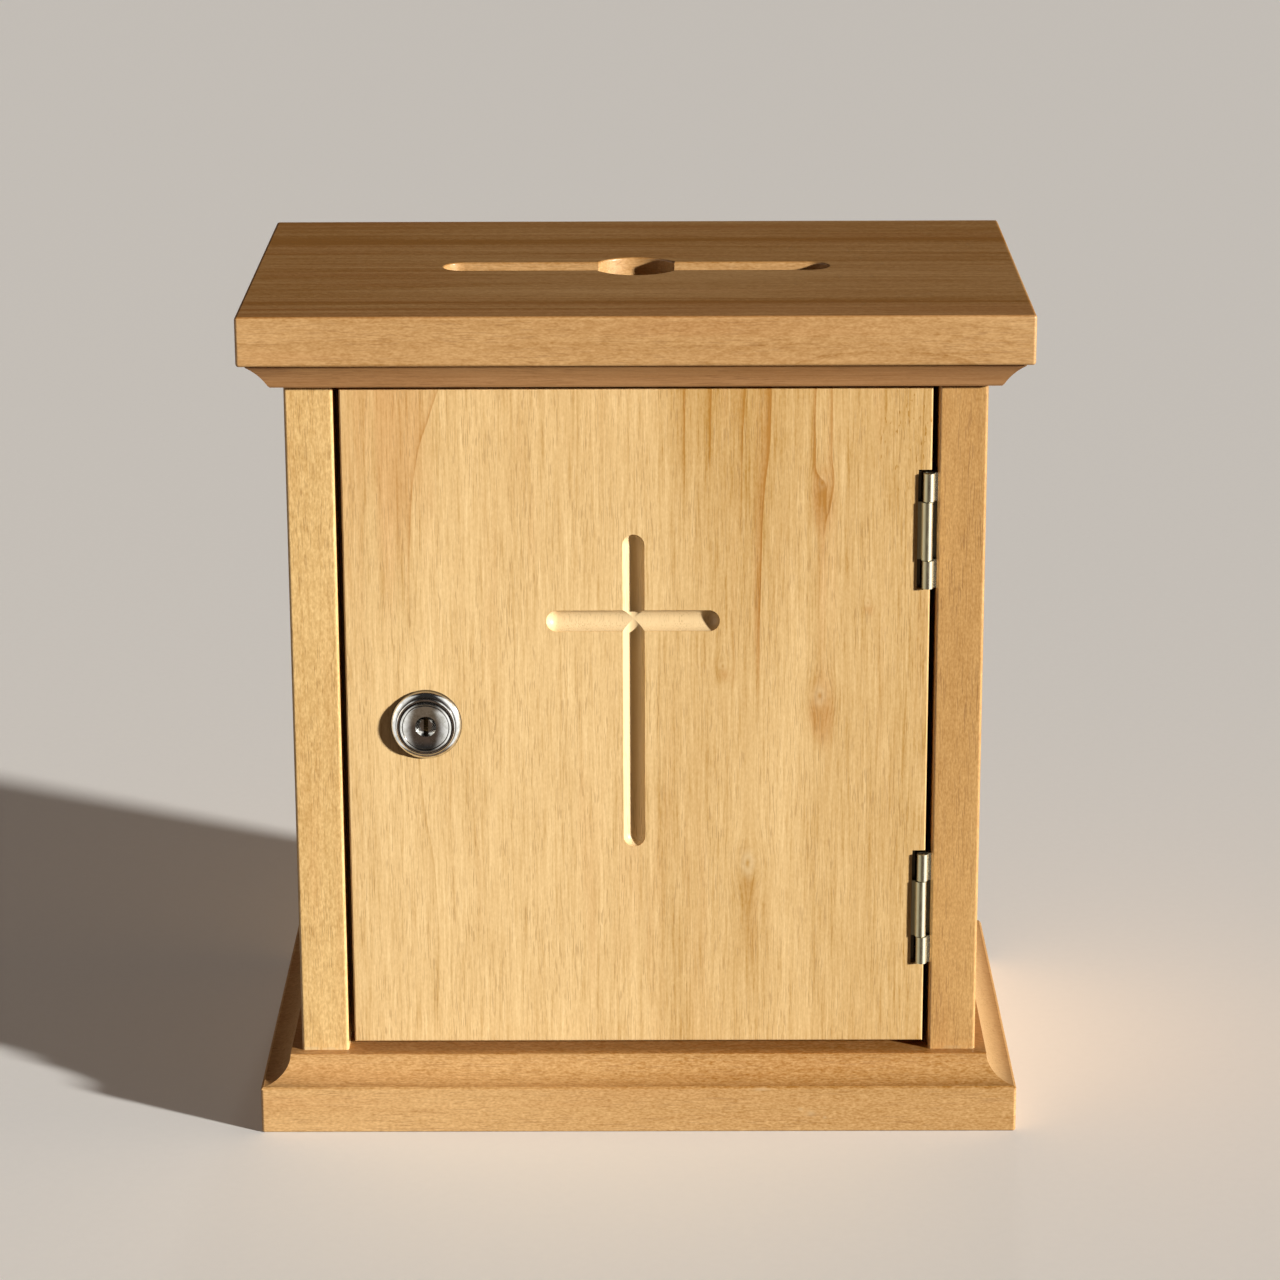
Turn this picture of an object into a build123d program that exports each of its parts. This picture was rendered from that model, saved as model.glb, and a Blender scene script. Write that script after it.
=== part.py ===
"""Table-top donation box: wooden case, coin and note slot in the lid, hinged door with a cam lock.

Millimetres, +Z up, the door faces -Y. The origin is under the middle of the box, on the table.
"""
from build123d import *
import os

os.makedirs("parts", exist_ok=True)

# ---------------------------------------------------------------- driving dimensions
# Overall
overall_height = 275.0
stock = 15.5                      # thickness of the planed boards
edge_round = 1.0                  # softened outside edges
fine_round = 0.6                  # softened small edges

# Lid
lid_width = 250.0
lid_depth = 155.0
lid_thickness = 16.0
lid_overhang = 13.5               # past the case, at the front and both sides
slot_length = 126.5
slot_width = 12.8
coin_hole_diameter = 28.2

# Base
base_height = 24.0
base_overhang = 13.0
base_lip_height = 15.0
base_lip_break = 0.8              # small bevel above the lip
base_cove_radius = 8.2
base_cove_step = 0.4              # flat between the cove's foot and the bevel

# Cove trim under the lid
trim_height = 8.7
trim_foot = 4.4                   # thickness at its lower edge
trim_foot_break = 0.6
trim_reach = 10.8                 # thickness at its upper edge
trim_top_edge = 0.7               # upright flat above the cove
trim_cove_radius = 22.0           # a shallow cove, close to a bevel

# Back
back_thickness = 6.0
rabbet_width = 7.0

# Door
door_side_gap = 2.0
door_bottom_gap = 3.0
door_top = 248.8

# Cross, cut with a round-nosed cutter
cross_cutter_radius = 3.6
cross_depth = 3.0
cross_stem_x = -1.0
cross_stem_low = 95.4
cross_stem_high = 201.0
cross_arm_z = 172.2
cross_arm_left = -29.1
cross_arm_right = 26.7

# Hinges
hinge_length = 38.0
hinge_axis_inset = 3.1            # from the right side panel's inner face
hinge_axis_proud = 0.3            # in front of the case front
hinge_centres = [73.8, 202.1]     # heights
hinge_names = ["lower_hinge", "upper_hinge"]
knuckle_radius = 1.9
knuckle_offset = 0.2              # a rolled knuckle sits a little towards its own leaf
knuckle_gap = 0.3
end_knuckle_length = 9.2
leaf_thickness = 1.0
leaf_reach = 14.0                 # from the axis to the leaf's free edge
leaf_cutback = 2.6                # from the axis, opposite the other leaf's knuckles
strap_start = 1.2                 # the strap that joins a knuckle to its leaf: from the axis, sideways
strap_front = 0.3                 # its front and back faces, behind the axis
strap_back = 1.8
neck_front = 0.5                  # front end of a leaf's neck, behind the axis
pin_radius = 0.95
pin_running_fit = 0.05
pin_chamfer = 0.25

# Hinge notches in the door
notch_width = 4.3
notch_depth = 2.6
notch_above = 1.0
notch_below = 0.35
notch_corner_radius = 2.6

# Lock
lock_x = -68.3
lock_z = 137.6
barrel_radius = 9.0
barrel_length = 24.8
barrel_flat = 8.0                 # from the axis to each flat
plug_head_radius = 7.5
plug_radius = 6.0
plug_fit = 0.05
keyway_width = 1.5
keyway_height = 6.6
keyway_depth = 21.0
keyway_overrun = 6.0              # the keyway's cutter starts this far in front of the door
tail_square = 7.0
tail_radius = 5.0                 # round over the square's corners

# Lock face, with heights measured forward from the door
flange_radius = 11.6
flange_edge = 0.5
flange_dome = (10.9, 1.75)        # radius and height half way up the dome
ring_radius = 9.6                 # outer raised ring
ring_inner = 8.5
ring_foot = 2.5
ring_height = 3.5
ring_break = 0.3
groove_height = 3.1               # floor of the groove between ring and collar
collar_radius = 8.3               # collar round the plug
collar_height = 4.3
collar_break = 0.2
head_seat = 1.6
head_height = 4.05
head_break = 0.15
dish_middle = (5.3, 3.35)         # radius and height half way down the dish
dish_foot = (3.4, 2.95)
keyhole_floor = (2.0, 1.4)
nut_across_flats = 24.0
nut_thickness = 3.5
cam_thickness = 1.5
cam_gap = 0.3                     # between the barrel's end and the cam
cam_length = 26.5
cam_width = 12.0
cam_hub_radius = 7.5
cam_corner_radius = 3.0
cam_fit = 0.1                     # round the plug's square tail
washer_thickness = 1.0
washer_radius = 5.8
washer_bore = 2.1
cam_screw_radius = 1.95
cam_screw_length = 6.0
cam_screw_hole = 2.0
cam_screw_hole_length = 5.5
cam_screw_head_radius = 4.0
cam_screw_head_height = 2.6
cam_screw_head_round = 1.2
cross_recess = (4.6, 2.4, 0.9)    # length, depth and width of each bar of the driver recess
wafer_count = 5
wafer_pitch = 2.6
wafer_thickness = 0.65
wafer_width = 5.8
wafer_length = 10.0
wafer_foot = 1.2                  # small tab that its spring pushes on
wafer_foot_height = 1.55          # above the lock's axis
wafer_foot_thickness = 0.5
wafer_window = (2.0, 6.0)         # width and height of the key's window
wafer_fit = 0.1
first_wafer = 4.0                 # behind the door's face
spring_wire_radius = 0.12
spring_radius = 0.42
spring_pitch = 0.6
spring_height = 2.4
spring_offset = 4.0               # from the lock's axis
spring_pocket_radius = 0.6
spring_pocket_height = 3.8
spring_lift = 0.4                 # the spring's foot above its pocket's floor

# Stop strip behind the door's free edge
strip_width = 10.0
strip_gap = 0.3                   # to the door
strip_thickness = 8.9

# Fasteners
dowel_radius = 4.0
dowel_in_lid = 9.0
dowel_in_panel = 20.0
rail_dowel_radius = 3.0
rail_dowel_half = 12.0
dowel_fit = 0.05
dowel_air = 0.5                   # hole left past a lid dowel's end
rail_dowel_air = 0.3
case_fixing_y = [-30.0, 40.0]     # dowels and base screws, along each side panel
back_screw_heights = [45.0, 141.0, 237.0]
strip_screw_heights = [60.0, 141.0, 222.0]
hinge_screw_offset = 11.5         # above and below the hinge's middle
hinge_screw_reach = 8.2           # from the axis
screw_bore_extra = 0.2            # a screw's hole is this much longer
screw_bore_fit = 0.03             # and this much wider in radius

# ---------------------------------------------------------------- places that follow
case_half = lid_width / 2 - lid_overhang
inner_half = case_half - stock
case_front = -lid_depth / 2 + lid_overhang
case_back = lid_depth / 2
lid_bottom = overall_height - lid_thickness
trim_bottom = lid_bottom - trim_height
panel_height = lid_bottom - base_height
panel_middle_x = case_half - stock / 2
base_half = case_half + base_overhang
base_front = case_front - base_overhang
door_half = inner_half - door_side_gap
door_bottom = base_height + door_bottom_gap
door_back = case_front + stock
rabbet_front = case_back - back_thickness
hinge_x = inner_half - hinge_axis_inset
hinge_y = case_front - hinge_axis_proud
strip_front = door_back + strip_gap
cam_back = case_front + barrel_length + cam_gap + cam_thickness
middle_knuckle_half = hinge_length / 2 - end_knuckle_length - knuckle_gap


def save(piece, label):
    """Name a finished piece and write it to its own file."""
    piece.part.label = label
    export_step(piece.part, f"parts/{label}.step")


# ---------------------------------------------------------------- fasteners, shared shapes
def countersunk_shape(length, shank, head, slot):
    """A countersunk screw with its head's top at the origin, pointing down -Z."""
    head_height = head - shank
    tip_height = 2 * shank
    top = (Align.CENTER, Align.CENTER, Align.MAX)
    with BuildPart() as screw:
        Cone(bottom_radius=shank, top_radius=head, height=head_height, align=top)
        with Locations((0, 0, -head_height)):
            Cylinder(radius=shank, height=length - head_height - tip_height, align=top)
        with Locations((0, 0, tip_height - length)):
            Cone(bottom_radius=shank / 5, top_radius=shank, height=tip_height, align=top)
        if slot:
            Box(2 * head, 0.35 * shank + 0.2, 0.45 * head_height, align=top, mode=Mode.SUBTRACT)
    return screw.part


def countersunk_bore(length, shank, head):
    """The hole that a countersunk screw fills, a little looser than the screw."""
    return countersunk_shape(length + screw_bore_extra, shank + screw_bore_fit, head + screw_bore_fit,
                             slot=False)


def fastener_group(label, shape, places):
    """The same fastener at several places, each a separate solid."""
    with BuildPart() as group:
        with Locations(*places):
            add(shape)
    save(group, label)


back_screw = (16.0, 1.5, 3.0)
strip_screw = (14.0, 1.5, 3.0)
base_screw = (40.0, 2.0, 4.0)
hinge_screw = (9.0, 1.1, 2.0)
base_screw_recess = 0.5

base_screw_places = [Plane(origin=(side * panel_middle_x, y, base_screw_recess), z_dir=(0, 0, -1))
                     for side in (-1, 1) for y in case_fixing_y]
back_screw_places = [Plane(origin=(side * (inner_half + rabbet_width / 2), case_back, z), z_dir=(0, 1, 0))
                     for side in (-1, 1) for z in back_screw_heights]
strip_screw_places = [Plane(origin=(strip_width - inner_half, strip_front + strip_thickness / 2, z),
                            z_dir=(1, 0, 0))
                      for z in strip_screw_heights]


def hinge_screw_places(height, leaf):
    """Screw places of one hinge's frame leaf (leaf=1) or door leaf (leaf=-1)."""
    face_x = hinge_x + leaf * (hinge_axis_inset - leaf_thickness)
    return [Plane(origin=(face_x, hinge_y + hinge_screw_reach, height + step), z_dir=(-leaf, 0, 0))
            for step in (-hinge_screw_offset, hinge_screw_offset)]


# ---------------------------------------------------------------- lid
def make_lid_board():
    """One board with softened edges, the note slot with its coin hole, and blind dowel holes."""
    with BuildPart() as lid:
        with BuildSketch(Plane.XY.offset(lid_bottom)):
            Rectangle(lid_width, lid_depth)
        extrude(amount=lid_thickness)
        fillet(lid.edges(), edge_round)
        with BuildSketch(Plane.XY.offset(lid_bottom)):
            SlotOverall(slot_length, slot_width)
            Circle(coin_hole_diameter / 2)
        extrude(amount=lid_thickness, mode=Mode.SUBTRACT)
        top_edges = lid.edges().group_by(Axis.Z)[-1]
        slot_rim = top_edges.filter_by_position(Axis.Y, -coin_hole_diameter, coin_hole_diameter)
        fillet(slot_rim.filter_by_position(Axis.X, -slot_length / 2, slot_length / 2), fine_round)
        with BuildSketch(Plane.XY.offset(lid_bottom)):
            with Locations(*[(side * panel_middle_x, y) for side in (-1, 1) for y in case_fixing_y]):
                Circle(dowel_radius + dowel_fit)
        extrude(amount=dowel_in_lid + dowel_air, mode=Mode.SUBTRACT)
    save(lid, "lid_board")


# ---------------------------------------------------------------- base
def cut_base_cove(plane, length):
    """Rout the cove along one edge: plane X points outward from the case, plane Y up."""
    cove_top = base_overhang - base_lip_break - base_cove_step - base_cove_radius
    with BuildSketch(plane) as cove:
        with BuildLine():
            Polyline((cove_top, base_height), (cove_top, base_height + 1),
                     (base_overhang + 1, base_height + 1),
                     (base_overhang + 1, base_lip_height), (base_overhang, base_lip_height),
                     (base_overhang - base_lip_break, base_lip_height + base_lip_break),
                     (cove_top + base_cove_radius, base_height - base_cove_radius))
            CenterArc((cove_top + base_cove_radius, base_height), base_cove_radius, 180, 90)
        make_face()
    extrude(cove.sketch, amount=length, both=True, mode=Mode.SUBTRACT)


def make_base_board():
    """One thick board, coved along the front and sides, with screw holes from beneath."""
    with BuildPart() as base:
        with BuildSketch():
            with Locations((0, (base_front + case_back) / 2)):
                Rectangle(2 * base_half, case_back - base_front)
        extrude(amount=base_height)
        fillet(base.edges().filter_by(Axis.Z), edge_round)
        fillet(base.edges().group_by(Axis.Z)[0], fine_round)
        cut_base_cove(Plane(origin=(0, case_front, 0), x_dir=(0, -1, 0), z_dir=(-1, 0, 0)), lid_width)
        for side in (-1, 1):
            cut_base_cove(Plane(origin=(side * case_half, 0, 0), x_dir=(side, 0, 0), z_dir=(0, -side, 0)),
                          lid_depth)
        with Locations(*base_screw_places):
            Cylinder(base_screw[2] + screw_bore_fit, 2 * base_screw_recess, mode=Mode.SUBTRACT)
            add(countersunk_bore(*base_screw), mode=Mode.SUBTRACT)
    save(base, "base_board")


# ---------------------------------------------------------------- case
def make_side_panel(side, label):
    """Side board: rabbeted at the back, drilled for dowels and screws. side is -1 left, 1 right."""
    with BuildPart() as panel:
        with BuildSketch(Plane.XY.offset(base_height)):
            with Locations((side * panel_middle_x, (case_front + case_back) / 2)):
                Rectangle(stock, case_back - case_front)
        extrude(amount=panel_height)
        fillet(panel.edges().filter_by(Axis.Z).group_by(Axis.Y)[0], edge_round)
        with BuildSketch(Plane.XY.offset(base_height)):
            with Locations((side * (inner_half + rabbet_width / 2), (rabbet_front + case_back) / 2)):
                Rectangle(rabbet_width, back_thickness)
        extrude(amount=panel_height, mode=Mode.SUBTRACT)
        with BuildSketch(Plane.XY.offset(lid_bottom)):
            with Locations(*[(side * panel_middle_x, y) for y in case_fixing_y]):
                Circle(dowel_radius + dowel_fit)
        extrude(amount=-dowel_in_panel, mode=Mode.SUBTRACT)
        with BuildSketch(Plane.YZ.offset(side * inner_half)):
            with Locations((case_front + stock / 2, trim_bottom + trim_height / 2)):
                Circle(rail_dowel_radius + dowel_fit)
        extrude(amount=side * rail_dowel_half, mode=Mode.SUBTRACT)
        with Locations(*base_screw_places):
            add(countersunk_bore(*base_screw), mode=Mode.SUBTRACT)
        with Locations(*back_screw_places):
            add(countersunk_bore(*back_screw), mode=Mode.SUBTRACT)
        if side < 0:
            with Locations(*strip_screw_places):
                add(countersunk_bore(*strip_screw), mode=Mode.SUBTRACT)
        else:
            for height in hinge_centres:
                with Locations(*hinge_screw_places(height, 1)):
                    add(countersunk_bore(*hinge_screw), mode=Mode.SUBTRACT)
    save(panel, label)


def make_back_panel():
    """Plywood back, let into the side panels' rabbets and screwed on from behind."""
    with BuildPart() as back:
        with BuildSketch(Plane.XY.offset(base_height)):
            with Locations((0, (rabbet_front + case_back) / 2)):
                Rectangle(2 * (inner_half + rabbet_width), back_thickness)
        extrude(amount=panel_height)
        with Locations(*back_screw_places):
            add(countersunk_bore(*back_screw), mode=Mode.SUBTRACT)
    save(back, "back_panel")


def make_top_rail():
    """Rail across the front under the lid, behind the cove trim."""
    with BuildPart() as rail:
        with BuildSketch(Plane.XY.offset(trim_bottom)):
            with Locations((0, case_front + stock / 2)):
                Rectangle(2 * inner_half, stock)
        extrude(amount=trim_height)
        for side in (-1, 1):
            with BuildSketch(Plane.YZ.offset(side * inner_half)):
                with Locations((case_front + stock / 2, trim_bottom + trim_height / 2)):
                    Circle(rail_dowel_radius + dowel_fit)
            extrude(amount=-side * rail_dowel_half, mode=Mode.SUBTRACT)
    save(rail, "top_rail_front")


def trim_profile(plane):
    """Cove trim section: plane X points outward from the case, plane Y up."""
    with BuildSketch(plane) as section:
        with BuildLine():
            cove_top = (trim_reach, lid_bottom - trim_top_edge)
            cove_foot = (trim_foot, trim_bottom + trim_foot_break)
            Polyline(cove_top, (trim_reach, lid_bottom), (0, lid_bottom), (0, trim_bottom),
                     (trim_foot - trim_foot_break, trim_bottom), cove_foot)
            RadiusArc(cove_foot, cove_top, trim_cove_radius)
        make_face()
    return section.sketch


def mitre_plane(side):
    """Upright plane through a front corner of the case, facing the front trim's side."""
    return Plane(origin=(side * case_half, case_front, 0), z_dir=(-side, -1, 0))


def make_trim_front():
    """Front length of cove trim, mitred at both ends."""
    with BuildPart() as trim:
        section = trim_profile(Plane(origin=(0, case_front, 0), x_dir=(0, -1, 0), z_dir=(-1, 0, 0)))
        extrude(section, amount=case_half + trim_reach, both=True)
        for side in (-1, 1):
            split(bisect_by=mitre_plane(side), keep=Keep.TOP)
    save(trim, "cove_trim_front")


def make_trim_side(side, label):
    """Side length of cove trim, mitred at the front and square at the back."""
    back_end = Plane(origin=(side * case_half, case_back, 0), x_dir=(side, 0, 0), z_dir=(0, -side, 0))
    with BuildPart() as trim:
        section = trim_profile(back_end)
        extrude(section, amount=side * (case_back - case_front + trim_reach))
        split(bisect_by=mitre_plane(side), keep=Keep.BOTTOM)
    save(trim, label)


def make_stop_strip():
    """Upright strip that the door closes against and the lock's cam catches behind."""
    with BuildPart() as strip:
        with BuildSketch(Plane.XY.offset(base_height)):
            with Locations((strip_width / 2 - inner_half, strip_front + strip_thickness / 2)):
                Rectangle(strip_width, strip_thickness)
        extrude(amount=panel_height)
        chamfer(strip.edges().filter_by(Axis.Z).group_by(Axis.X)[-1], fine_round)
        with Locations(*strip_screw_places):
            add(countersunk_bore(*strip_screw), mode=Mode.SUBTRACT)
    save(strip, "door_stop_strip")


def make_dowels():
    """Beech dowels: four upright ones under the lid, two level ones in the top rail's ends."""
    with BuildPart() as lid_dowels:
        with BuildSketch(Plane.XY.offset(lid_bottom - dowel_in_panel)):
            with Locations(*[(side * panel_middle_x, y) for side in (-1, 1) for y in case_fixing_y]):
                Circle(dowel_radius)
        extrude(amount=dowel_in_panel + dowel_in_lid)
    save(lid_dowels, "lid_dowels")
    with BuildPart() as rail_dowels:
        for side in (-1, 1):
            with BuildSketch(Plane.YZ.offset(side * inner_half)):
                with Locations((case_front + stock / 2, trim_bottom + trim_height / 2)):
                    Circle(rail_dowel_radius)
            extrude(amount=rail_dowel_half - rail_dowel_air, both=True)
    save(rail_dowels, "rail_dowels")


# ---------------------------------------------------------------- door
def cut_cross():
    """Plunge and run a round-nosed cutter along the stem and along the arms."""
    groove_y = case_front + cross_depth - cross_cutter_radius
    surface_radius = (cross_cutter_radius ** 2 - (cross_cutter_radius - cross_depth) ** 2) ** 0.5
    stem = [(cross_stem_x, groove_y, cross_stem_low + surface_radius),
            (cross_stem_x, groove_y, cross_stem_high - surface_radius)]
    arms = [(cross_arm_left + surface_radius, groove_y, cross_arm_z),
            (cross_arm_right - surface_radius, groove_y, cross_arm_z)]
    for start, end in (stem, arms):
        middle = (Vector(*start) + Vector(*end)) / 2
        run = Vector(*end) - Vector(*start)
        with Locations(Plane(origin=middle, z_dir=run)):
            Cylinder(cross_cutter_radius, run.length, mode=Mode.SUBTRACT)
        with Locations(start, end):
            Sphere(cross_cutter_radius, mode=Mode.SUBTRACT)


def cut_hinge_notches():
    """Notch through the door's edge for each leaf, with a wider shallow pocket round the knuckles."""
    low = notch_below + hinge_length / 2
    high = notch_above + hinge_length / 2
    for height in hinge_centres:
        leaf_floor = hinge_x - hinge_axis_inset
        with BuildSketch(Plane.XZ.offset(-case_front)) as notch:
            with Locations(((leaf_floor + door_half) / 2, height + (high - low) / 2)):
                Rectangle(door_half - leaf_floor, high + low)
        extrude(notch.sketch, amount=-stock, mode=Mode.SUBTRACT)
        with BuildSketch(Plane.XZ.offset(-case_front)) as pocket:
            with Locations((door_half - notch_width / 2, height + (high - low) / 2)):
                Rectangle(notch_width, high + low)
            fillet(pocket.vertices().group_by(Axis.Y)[-1].sort_by(Axis.X)[0], notch_corner_radius)
        extrude(pocket.sketch, amount=-notch_depth, mode=Mode.SUBTRACT)


def make_door_panel():
    """Glued-up door board with the cut cross, the lock bore and the hinge notches."""
    with BuildPart() as door:
        with BuildSketch(Plane.XY.offset(door_bottom)):
            with Locations((0, case_front + stock / 2)):
                Rectangle(2 * door_half, stock)
        extrude(amount=door_top - door_bottom)
        fillet(door.faces().sort_by(Axis.Y)[0].edges(), fine_round)
        cut_cross()
        with BuildSketch(Plane.XZ.offset(-case_front)):
            with Locations((lock_x, lock_z)):
                Circle(barrel_radius + dowel_fit)
        extrude(amount=-stock, mode=Mode.SUBTRACT)
        cut_hinge_notches()
        for height in hinge_centres:
            with Locations(*hinge_screw_places(height, -1)):
                add(countersunk_bore(*hinge_screw), mode=Mode.SUBTRACT)
    save(door, "door_panel")


# ---------------------------------------------------------------- hinges
def make_hinge_leaf(height, leaf, label):
    """One leaf with its knuckles. leaf is 1 for the frame leaf (end knuckles), -1 for the door leaf."""
    half = hinge_length / 2
    ends = [(height - half, height - half + end_knuckle_length),
            (height + half - end_knuckle_length, height + half)]
    middle = [(height - middle_knuckle_half, height + middle_knuckle_half)]
    own = ends if leaf > 0 else middle
    bore = pin_radius if leaf > 0 else pin_radius + pin_running_fit
    outer_x = hinge_x + leaf * hinge_axis_inset
    face_x = outer_x - leaf * leaf_thickness
    strap_x = hinge_x + leaf * strap_start
    strap_middle = (strap_front + strap_back) / 2
    with BuildPart() as hinge:
        with BuildSketch(Plane.XY.offset(height - half)):
            with Locations(((outer_x + face_x) / 2, hinge_y + (leaf_cutback + leaf_reach) / 2)):
                Rectangle(leaf_thickness, leaf_reach - leaf_cutback)
        extrude(amount=hinge_length)
        corners = hinge.edges().filter_by(Axis.X).group_by(Axis.Y)[-1]
        fillet(corners, edge_round)
        for low, high in own:
            with BuildSketch(Plane.XY.offset(low)):
                with Locations((hinge_x + leaf * knuckle_offset, hinge_y)):
                    Circle(knuckle_radius)
                with Locations(((outer_x + strap_x) / 2, hinge_y + strap_middle)):
                    Rectangle(abs(outer_x - strap_x), strap_back - strap_front)
                with Locations(((outer_x + face_x) / 2, hinge_y + leaf_cutback / 2 + neck_front)):
                    Rectangle(leaf_thickness, leaf_cutback)
            extrude(amount=high - low)
        with BuildSketch(Plane.XY.offset(height - half)):
            with Locations((hinge_x, hinge_y)):
                Circle(bore)
        extrude(amount=hinge_length, mode=Mode.SUBTRACT)
        with Locations(*hinge_screw_places(height, leaf)):
            add(countersunk_bore(*hinge_screw), mode=Mode.SUBTRACT)
    save(hinge, label)


def make_hinge_pin(height, label):
    """Steel pin, fast in the frame leaf's knuckles."""
    with BuildPart() as pin:
        with BuildSketch(Plane.XY.offset(height - hinge_length / 2)):
            with Locations((hinge_x, hinge_y)):
                Circle(pin_radius)
        extrude(amount=hinge_length)
        chamfer(pin.edges().group_by(Axis.Z)[0] + pin.edges().group_by(Axis.Z)[-1], pin_chamfer)
    save(pin, label)


def make_hinges():
    """Two butt hinges, each of two leaves, a pin and four screws."""
    one_screw = countersunk_shape(*hinge_screw, slot=True)
    for height, name in zip(hinge_centres, hinge_names):
        make_hinge_leaf(height, 1, f"{name}_frame_leaf")
        make_hinge_leaf(height, -1, f"{name}_door_leaf")
        make_hinge_pin(height, f"{name}_pin")
        fastener_group(f"{name}_frame_screws", one_screw, hinge_screw_places(height, 1))
        fastener_group(f"{name}_door_screws", one_screw, hinge_screw_places(height, -1))


# ---------------------------------------------------------------- lock
lock_axis = Axis((lock_x, 0, lock_z), (0, 1, 0))
lock_plane = Plane.XY.offset(lock_z)


def lock_point(radius, proud):
    """Point of a turned profile: radius from the lock's axis, distance in front of the door."""
    return (lock_x + radius, case_front - proud)


def make_lock_housing():
    """Turned housing: domed flange, two raised rings, threaded barrel with two flats."""
    bore = plug_radius + plug_fit
    counterbore = plug_head_radius + plug_fit
    with BuildPart() as housing:
        with BuildSketch(lock_plane):
            with BuildLine():
                Polyline(lock_point(flange_radius, flange_edge), lock_point(flange_radius, 0),
                         lock_point(barrel_radius, 0), lock_point(barrel_radius, -barrel_length),
                         lock_point(bore, -barrel_length), lock_point(bore, head_seat),
                         lock_point(counterbore, head_seat),
                         lock_point(counterbore, collar_height - collar_break),
                         lock_point((counterbore + collar_radius) / 2, collar_height),
                         lock_point(collar_radius, collar_height - collar_break),
                         lock_point(collar_radius, groove_height), lock_point(ring_inner, groove_height),
                         lock_point(ring_inner + ring_break, ring_height),
                         lock_point(ring_radius - ring_break, ring_height),
                         lock_point(ring_radius, ring_height - ring_break),
                         lock_point(ring_radius, ring_foot))
                ThreePointArc(lock_point(ring_radius, ring_foot), lock_point(*flange_dome),
                              lock_point(flange_radius, flange_edge))
            make_face()
        revolve(axis=lock_axis)
        for side in (-1, 1):
            flat_centre = lock_z + side * (barrel_flat + barrel_radius / 2)
            with Locations((lock_x, case_front + barrel_length / 2, flat_centre)):
                Box(2 * barrel_radius, barrel_length, barrel_radius, mode=Mode.SUBTRACT)
    save(housing, "lock_housing")


def wafer_place(index):
    """Distance behind the door face of one wafer's middle."""
    return case_front + first_wafer + index * wafer_pitch


def make_lock_plug():
    """Plug with a dished face, a keyway, wafer slots and a squared tail for the cam."""
    tail_end = cam_back - case_front
    body_end = barrel_length + cam_gap / 3
    with BuildPart() as plug:
        with BuildSketch(lock_plane):
            with BuildLine():
                Polyline(lock_point(*dish_foot), lock_point(*keyhole_floor),
                         lock_point(0, keyhole_floor[1]), lock_point(0, -tail_end),
                         lock_point(tail_radius, -tail_end), lock_point(tail_radius, -body_end),
                         lock_point(plug_radius, -body_end), lock_point(plug_radius, head_seat + plug_fit),
                         lock_point(plug_head_radius, head_seat + plug_fit),
                         lock_point(plug_head_radius, head_height - head_break),
                         lock_point(plug_head_radius - 2 * head_break, head_height))
                ThreePointArc(lock_point(plug_head_radius - 2 * head_break, head_height),
                              lock_point(*dish_middle), lock_point(*dish_foot))
            make_face()
        revolve(axis=lock_axis)
        with BuildSketch(Plane.XZ.offset(-cam_back)):
            with Locations((lock_x, lock_z)):
                Circle(plug_radius)
                Rectangle(tail_square, tail_square, mode=Mode.SUBTRACT)
        extrude(amount=tail_end - body_end, mode=Mode.SUBTRACT)
        with Locations((lock_x, case_front + (keyway_depth - keyway_overrun) / 2, lock_z)):
            Box(keyway_width, keyway_depth + keyway_overrun, keyway_height, mode=Mode.SUBTRACT)
        for index in range(wafer_count):
            with Locations((lock_x, wafer_place(index), lock_z)):
                Box(wafer_width + wafer_fit, wafer_thickness + wafer_fit, 2 * plug_radius,
                    mode=Mode.SUBTRACT)
            with Locations((lock_x + spring_offset, wafer_place(index), lock_z)):
                Cylinder(spring_pocket_radius, spring_pocket_height, mode=Mode.SUBTRACT)
                Box(2 * (wafer_foot + wafer_fit), wafer_thickness + wafer_fit, spring_pocket_height,
                    mode=Mode.SUBTRACT)
        with BuildSketch(Plane.XZ.offset(-cam_back)):
            with Locations((lock_x, lock_z)):
                Circle(cam_screw_hole)
        extrude(amount=cam_screw_hole_length, mode=Mode.SUBTRACT)
    save(plug, "lock_plug")


def make_lock_wafers():
    """Thin wafers, drawn in flush with the plug, each with a window for the key and a spring foot."""
    with BuildPart() as wafers:
        for index in range(wafer_count):
            with Locations((lock_x, wafer_place(index), lock_z)):
                Box(wafer_width, wafer_thickness, wafer_length)
                Box(wafer_window[0], wafer_thickness, wafer_window[1], mode=Mode.SUBTRACT)
            foot_x = lock_x + (wafer_width + wafer_foot) / 2
            with Locations((foot_x, wafer_place(index), lock_z + wafer_foot_height)):
                Box(wafer_foot, wafer_thickness, wafer_foot_thickness)
    save(wafers, "lock_wafers")


def make_wafer_springs():
    """One small coil spring beside each wafer, under the wafer's foot."""
    with BuildPart() as springs:
        for index in range(wafer_count):
            floor_z = lock_z - spring_pocket_height / 2
            foot = (lock_x + spring_offset, wafer_place(index), floor_z + spring_lift)
            with BuildLine(Plane(origin=foot, z_dir=(0, 0, 1))) as coil:
                Helix(pitch=spring_pitch, height=spring_height, radius=spring_radius)
            with BuildSketch(coil.line ^ 0):
                Circle(spring_wire_radius)
            sweep(path=coil.line, is_frenet=True)
    save(springs, "lock_wafer_springs")


def make_lock_nut():
    """Hexagon nut that clamps the housing to the back of the door."""
    with BuildPart() as nut:
        with BuildSketch(Plane.XZ.offset(-door_back)):
            with Locations((lock_x, lock_z)):
                RegularPolygon(radius=nut_across_flats / 2, side_count=6, major_radius=False)
                Circle(barrel_radius + dowel_fit, mode=Mode.SUBTRACT)
        extrude(amount=-nut_thickness)
    save(nut, "lock_nut")


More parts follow.
